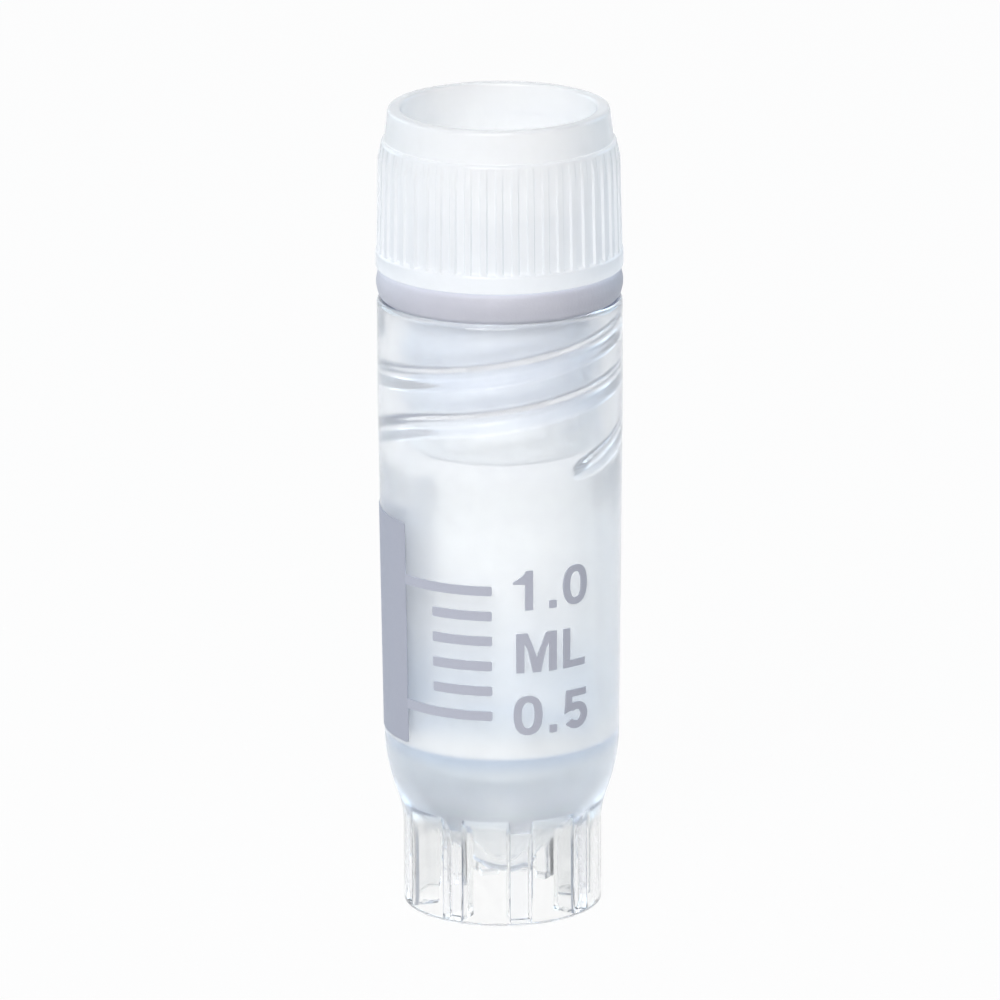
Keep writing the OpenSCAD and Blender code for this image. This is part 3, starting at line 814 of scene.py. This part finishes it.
def rubber():
    """Grey silicone: soft sheen, faint mottling and a fine moulded grain."""
    n = Nodes("gasket_silicone")
    where = own_place(n)
    mottle = n.noise(where, 700.0, 4.0)
    body = n.mix(mottle, colour(195, 195, 205), colour(206, 206, 215))
    grain = n.noise(where, 6000.0, 3.0)
    bump = n.add("ShaderNodeBump", {"Strength": 0.6, "Distance": 0.00002, "Height": grain})
    surface = n.add("ShaderNodeBsdfPrincipled", {
        "Base Color": body, "Roughness": n.span(grain, 0.3, 0.7, 0.42, 0.55),
        "Subsurface Weight": 0.12, "Subsurface Scale": 1.0,
        "Subsurface Radius": (0.0012, 0.0011, 0.0013), "Normal": bump.outputs[0]})
    n.tree.links.new(surface.outputs[0], n.output.inputs["Surface"])
    return n.material


def ink(name, dark, light):
    """Screen-printed ink: matte, with the faint mesh of the screen and small thin spots."""
    n = Nodes(name)
    where = own_place(n)
    mesh = n.add("ShaderNodeTexVoronoi", {"Vector": where, "Scale": 7000.0}).outputs["Distance"]
    thin = n.noise(where, 2500.0, 3.0)
    share = n.math("ADD", n.math("MULTIPLY", thin, 0.7), n.math("MULTIPLY", mesh, 0.4), clamp=True)
    body = n.mix(share, colour(*dark), colour(*light))
    bump = n.add("ShaderNodeBump", {"Strength": 0.5, "Distance": 0.00001, "Height": share})
    surface = n.add("ShaderNodeBsdfPrincipled", {
        "Base Color": body, "Roughness": n.span(thin, 0.3, 0.7, 0.5, 0.65), "Normal": bump.outputs[0]})
    n.tree.links.new(surface.outputs[0], n.output.inputs["Surface"])
    return n.material


# ---------------------------------------------------------------- stage, light and camera
AMBIENT = (0.16, 0.17, 0.195)     # the world's light on matte surfaces
CEILING = (0.74, 0.78, 0.87)     # what gloss and clear plastic see overhead


def floor():
    """A wide pale sheet under the vial. What looks at it sees it nearly white with a soft shadow."""
    mesh = bpy.data.meshes.new("floor")
    half = 6.0
    corners = [(-half, -half, 0), (half, -half, 0), (half, half, 0), (-half, half, 0)]
    mesh.from_pydata(corners, [], [(0, 1, 2, 3)])
    sheet = bpy.data.objects.new("floor", mesh)
    bpy.context.scene.collection.objects.link(sheet)
    n = Nodes("floor")
    path = n.add("ShaderNodeLightPath").outputs
    direct = n.math("MAXIMUM", path["Is Camera Ray"], path["Is Glossy Ray"])
    seen = n.math("MAXIMUM", direct, path["Is Transmission Ray"])
    matte = n.add("ShaderNodeBsdfDiffuse", {"Color": (0.8, 0.8, 0.8, 1)})
    white = n.add("ShaderNodeEmission", {"Color": (1, 1, 1, 1), "Strength": 1.0})
    both = n.add("ShaderNodeMixShader", {
        0: n.math("MULTIPLY", seen, 0.95), 1: matte.outputs[0], 2: white.outputs[0]})
    n.tree.links.new(both.outputs[0], n.output.inputs["Surface"])
    mesh.materials.append(n.material)


def world():
    """Soft bluish light from all round. What looks at the world sees white low down, where the
    backdrop stands, and a dimmer blue-grey ceiling."""
    made = bpy.data.worlds.new("studio")
    made.use_nodes = True
    bpy.context.scene.world = made
    tree = made.node_tree
    tree.nodes.clear()

    def add(kind, *links):
        node = tree.nodes.new(kind)
        for source, target in links:
            tree.links.new(source, node.inputs[target])
        return node

    def mix(share, a, b):
        node = add("ShaderNodeMix", (share, 0))
        node.data_type = "RGBA"
        for value, socket in ((a, node.inputs[6]), (b, node.inputs[7])):
            if isinstance(value, tuple):
                socket.default_value = (*value, 1)
            else:
                tree.links.new(value, socket)
        return node.outputs[2]
    up = add("ShaderNodeSeparateXYZ", (add("ShaderNodeTexCoord").outputs["Generated"], 0)).outputs[2]
    path = add("ShaderNodeLightPath").outputs
    ceiling = add("ShaderNodeValToRGB", (up, 0))
    low, high = ceiling.color_ramp.elements
    ceiling.color_ramp.interpolation = "EASE"
    low.position, low.color = 0.3, (1, 1, 1, 1)
    high.position, high.color = 0.7, (*CEILING, 1)
    clear = add("ShaderNodeMath", (path["Is Glossy Ray"], 0), (path["Is Transmission Ray"], 1))
    seen = mix(clear.outputs[0], AMBIENT, ceiling.outputs[0])
    back = add("ShaderNodeBackground", (mix(path["Is Camera Ray"], seen, (1, 1, 1)), "Color"))
    add("ShaderNodeOutputWorld", (back.outputs[0], "Surface"))


def softbox(name, azimuth, elevation, distance, size, power, tint=(1, 1, 1)):
    """A square lamp that looks at the middle of the vial from an azimuth and elevation."""
    lamp = bpy.data.lights.new(name, "AREA")
    lamp.shape, lamp.size, lamp.energy, lamp.color = "SQUARE", size, power, tint
    holder = bpy.data.objects.new(name, lamp)
    bpy.context.scene.collection.objects.link(holder)
    a, e = math.radians(azimuth), math.radians(elevation)
    aim = np.array([math.sin(a) * math.cos(e), -math.cos(a) * math.cos(e), math.sin(e)])
    middle = np.array([0, 0, CAP_TOP_Z * MM / 2])
    holder.location = middle + distance * aim
    holder.rotation_euler = (math.pi / 2 - e, 0, a)


def camera():
    """The camera stands in front, looks down at 16 degrees at a point just above the vial's
    middle, and leans very slightly to the right."""
    made = bpy.data.cameras.new("camera")
    made.sensor_width, made.lens = 36, 337.1
    holder = bpy.data.objects.new("camera", made)
    bpy.context.scene.collection.objects.link(holder)
    e, lean = math.radians(16.1), math.radians(0.3)
    distance, aim_x, aim_z = 0.480, -0.00004, 0.02133
    holder.location = (aim_x, -distance * math.cos(e), aim_z + distance * math.sin(e))
    holder.rotation_mode = "ZYX"
    holder.rotation_euler = (math.pi / 2 - e, 0, -lean)
    made.clip_start = 0.01
    bpy.context.scene.camera = holder


def put(piece, material, body, slot, *nodes):
    """Gives a piece its material and the body it rides on, and hides the solids it stands for. The
    slot is not used.
    """
    piece.data.materials.append(material)
    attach(piece, body)
    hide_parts(*nodes)


put(vial_tube(), tube_plastic(), "vial", "tube_plastic", "tube")
put(cap_moulding(), cap_plastic(), "cap", "cap_plastic", "cap")
put(sealing_ring(), rubber(), "gasket", "gasket_silicone", "gasket")
field_ink = ink("patch_ink", (172, 174, 187), (180, 182, 194))
marks_ink = ink("mark_ink", (180, 182, 195), (188, 190, 202))
put(writing_field(), field_ink, "vial", "patch_ink", "writing_patch")
put(scale_marks(), marks_ink, "vial", "mark_ink", "graduation_ticks")
put(scale_figures(), marks_ink, "vial", "mark_ink", "graduation_figures")

floor()
world()
softbox("key", -11, 34, 0.7, 0.55, 3.1, (1.0, 0.985, 0.955))
softbox("sparkle", -24, 38, 0.6, 0.12, 0.35)
softbox("fill", -85, 20, 0.9, 0.5, 1.1, (0.74, 0.86, 1.0))
softbox("left_edge", -128, 15, 0.9, 0.5, 1.55, (0.70, 0.90, 1.0))
softbox("right_edge", 125, 15, 0.9, 0.5, 1.5, (0.50, 0.78, 1.0))
softbox("top", 180, 75, 0.7, 0.4, 1.0)
camera()

view = bpy.context.scene.view_settings
view.view_transform = "Standard"
